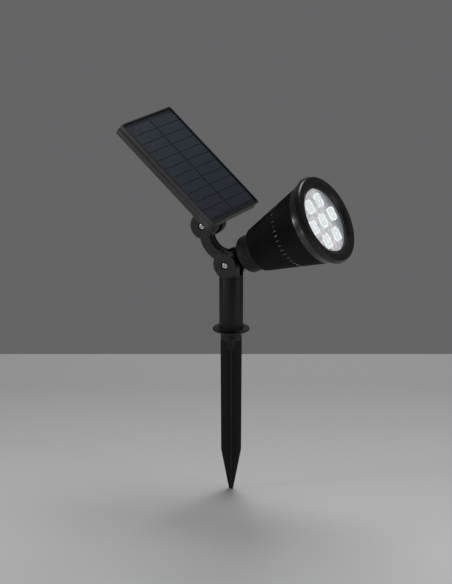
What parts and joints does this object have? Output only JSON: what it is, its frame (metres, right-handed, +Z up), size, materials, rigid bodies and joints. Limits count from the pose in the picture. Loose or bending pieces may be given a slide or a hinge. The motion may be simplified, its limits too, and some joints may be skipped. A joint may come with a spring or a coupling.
{
  "type": "solar garden light",
  "caption": "Solar spotlight on a ground spike: a tilting panel on a bent arm and a ribbed conical lamp head share one hinge on a short swivelling post.",
  "frame": {"origin": "centre of the ground flange's underside, on the post's axis, where the light meets the soil", "axes": "+Z up along the post, +X the way the lamp head points, +Y to the lamp's left, along the tilt hinges"},
  "size_m": [0.2296, 0.095, 0.3824],
  "materials": {
    "satin_black": "satin moulded ABS, fine texture",
    "gloss_black": "semi-gloss moulded ABS",
    "spike_black": "satin moulded polypropylene",
    "panel_black": "satin moulded ABS",
    "button_grey": "soft-touch grey plastic",
    "zinc_steel": "bright zinc plating",
    "tinned_ribbon": "tinned copper ribbon",
    "nylon": "natural nylon",
    "black_rubber": "matte silicone rubber",
    "cell_silicon": "polycrystalline silicon under clear film",
    "cell_backing": "black solder resist",
    "panel_glass": "clear cover, slight gloss",
    "lamp_glass": "clear polycarbonate",
    "optic_clear": "clear acrylic, lit",
    "circuit_green": "green solder resist",
    "board_white": "white solder resist",
    "led_yellow": "phosphor on white package",
    "chip_black": "moulded epoxy",
    "battery_wrap": "shrink-wrapped sleeve",
    "holder_black": "moulded nylon",
    "spreader_aluminium": "turned aluminium"
  },
  "bodies": {
    "stake": {"ground_spike": "spike_black", "ground_flange": "spike_black", "swivel_clip": "zinc_steel"},
    "post": {"post_tube": "satin_black", "post_yoke": "satin_black", "swivel_washer": "nylon", "lower_hinge_bolt": "zinc_steel", "lower_hinge_nut": "zinc_steel", "lower_hinge_washers": "nylon"},
    "arm": {"arm_plates": "satin_black", "arm_core": "satin_black", "arm_screws": "zinc_steel"},
    "panel": {"panel_bracket": "satin_black", "bracket_screws": "zinc_steel", "upper_hinge_bolt": "zinc_steel", "upper_hinge_nut": "zinc_steel", "upper_hinge_washers": "nylon", "panel_back_cover": "panel_black", "panel_frame": "panel_black", "panel_gasket": "black_rubber", "panel_cover_screws": "zinc_steel", "panel_cable_grommet": "black_rubber", "cell_board": "cell_backing", "solar_cells": "cell_silicon", "cell_ribbons": "tinned_ribbon", "panel_window": "panel_glass", "blocking_diode": "chip_black", "button_switch": "chip_black", "button_guard": "black_rubber"},
    "button": {"power_button": "button_grey"},
    "head": {"head_knuckle": "satin_black", "knuckle_screws": "zinc_steel", "rear_cap": "satin_black", "rear_cap_seal": "black_rubber", "rear_cap_screws": "zinc_steel", "head_cable_grommet": "black_rubber", "lamp_housing": "satin_black", "battery_cell": "battery_wrap", "battery_holder": "holder_black", "battery_contacts": "zinc_steel", "controller_board": "circuit_green", "controller_parts": "chip_black", "board_screws": "zinc_steel", "heat_spreader": "spreader_aluminium", "led_board": "board_white", "led_board_screws": "zinc_steel", "led_chips": "led_yellow", "optic_array": "optic_clear", "front_seal": "black_rubber", "front_window": "lamp_glass", "bezel_ring": "gloss_black", "bezel_pins": "zinc_steel"}
  },
  "joints": [
    {"name": "post_swivel", "type": "hinge", "parent": "stake", "child": "post", "pos_m": [0, 0, 0], "axis": [0, 0, 1], "continuous": true},
    {"name": "head_tilt", "type": "hinge", "parent": "post", "child": "head", "pos_m": [0, 0, 0.07], "axis": [0, -1, 0], "range_deg": [-42, 10]},
    {"name": "arm_tilt", "type": "hinge", "parent": "post", "child": "arm", "pos_m": [0, 0, 0.07], "axis": [0, -1, 0], "range_deg": [-6, 15]},
    {"name": "panel_tilt", "type": "hinge", "parent": "arm", "child": "panel", "pos_m": [-0.0258, 0, 0.107], "axis": [0, -1, 0], "range_deg": [-10, 35]},
    {"name": "button_press", "type": "slide", "parent": "panel", "child": "button", "axis": [0.6455, 0, 0.7638], "range_m": [0, 0.0012], "stiffness_N_per_m": 800}
  ]
}
